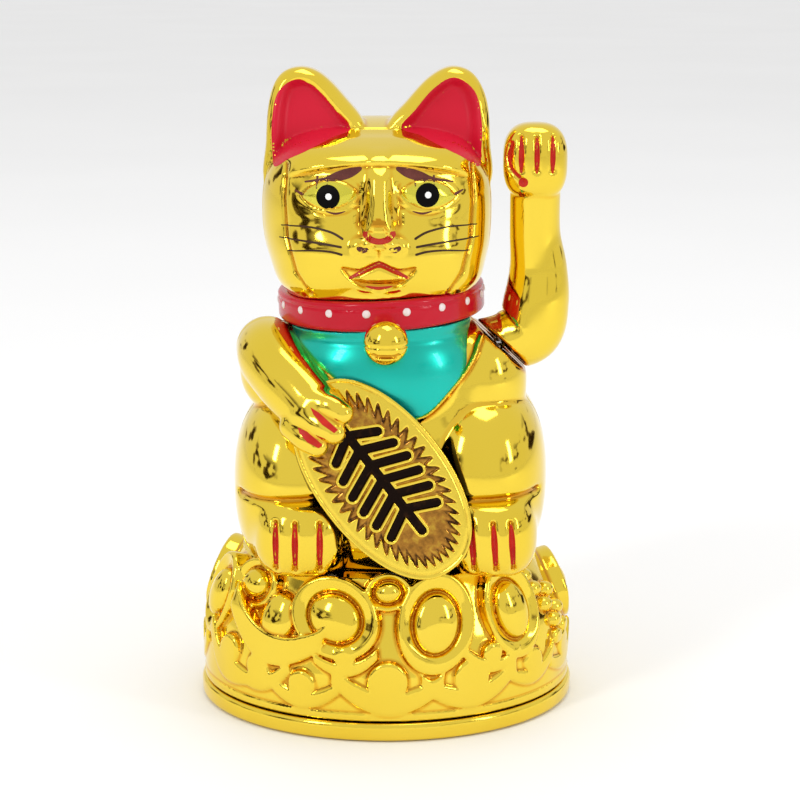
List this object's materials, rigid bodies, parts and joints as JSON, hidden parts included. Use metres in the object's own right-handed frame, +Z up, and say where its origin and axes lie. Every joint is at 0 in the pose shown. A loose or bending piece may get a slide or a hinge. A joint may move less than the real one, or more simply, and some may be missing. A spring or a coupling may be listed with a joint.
{
  "type": "beckoning cat figurine",
  "caption": "Gold-plated seated beckoning cat on an ingot mound, with a pendulum-driven swinging arm, collar, bell, bib and oval coin; battery bay with sliding door underneath.",
  "frame": {"origin": "middle of the base's underside", "axes": "+Z up, the cat faces -Y, +X to the right of someone looking the cat in the face"},
  "size_m": [0.1078, 0.0938, 0.18],
  "materials": {
    "gold_plated_plastic": "vacuum-plated mirror gold",
    "gold_door": "satin gold moulded plastic",
    "collar_crimson": "gloss crimson lacquer with white dots",
    "bib_teal": "metallic teal lacquer",
    "mechanism_plastic": "satin natural moulding",
    "steel": "bright drawn steel",
    "iron_weight": "matte",
    "magnet": "satin",
    "board": "satin solder mask",
    "chip": "matte",
    "copper_winding": "enamelled copper wire",
    "cell_case": "gloss printed sleeve",
    "lead_black": "satin",
    "lead_red": "satin"
  },
  "bodies": {
    "figure": {"body_front_shell": "gold_plated_plastic", "body_rear_shell": "gold_plated_plastic", "mound_shell": "gold_plated_plastic", "base_plate": "gold_plated_plastic", "koban_coin": "gold_plated_plastic", "bell": "gold_plated_plastic", "collar": "collar_crimson", "bib": "bib_teal", "shoulder_bush": "mechanism_plastic", "swing_frame": "mechanism_plastic", "circuit_board": "board", "drive_chip": "chip", "coil_bobbin": "mechanism_plastic", "coil_winding": "copper_winding", "battery_cell": "cell_case", "battery_spring": "steel", "battery_contact": "steel", "battery_lead_negative": "lead_black", "battery_lead_positive": "lead_red", "base_screw_1": "steel", "base_screw_2": "steel", "base_screw_3": "steel", "base_screw_4": "steel", "body_screw_1": "steel", "body_screw_2": "steel", "frame_screw_1": "steel", "frame_screw_2": "steel"},
    "waving_arm": {"arm_front_shell": "gold_plated_plastic", "arm_rear_shell": "gold_plated_plastic", "arm_axle": "steel", "axle_clip_inner": "steel", "axle_clip_outer": "steel", "pendulum_lever": "mechanism_plastic", "pendulum_weight": "iron_weight", "pendulum_magnet": "magnet"},
    "door": {"battery_door": "gold_door"}
  },
  "joints": [
    {"name": "arm_swing", "type": "hinge", "parent": "figure", "child": "waving_arm", "pos_m": [0.0278, -0.009, 0.104], "axis": [1, 0, 0], "range_deg": [-16, 16]},
    {"name": "door_slide", "type": "slide", "parent": "figure", "child": "door", "axis": [0, 1, 0], "range_m": [0, 0.022]}
  ]
}
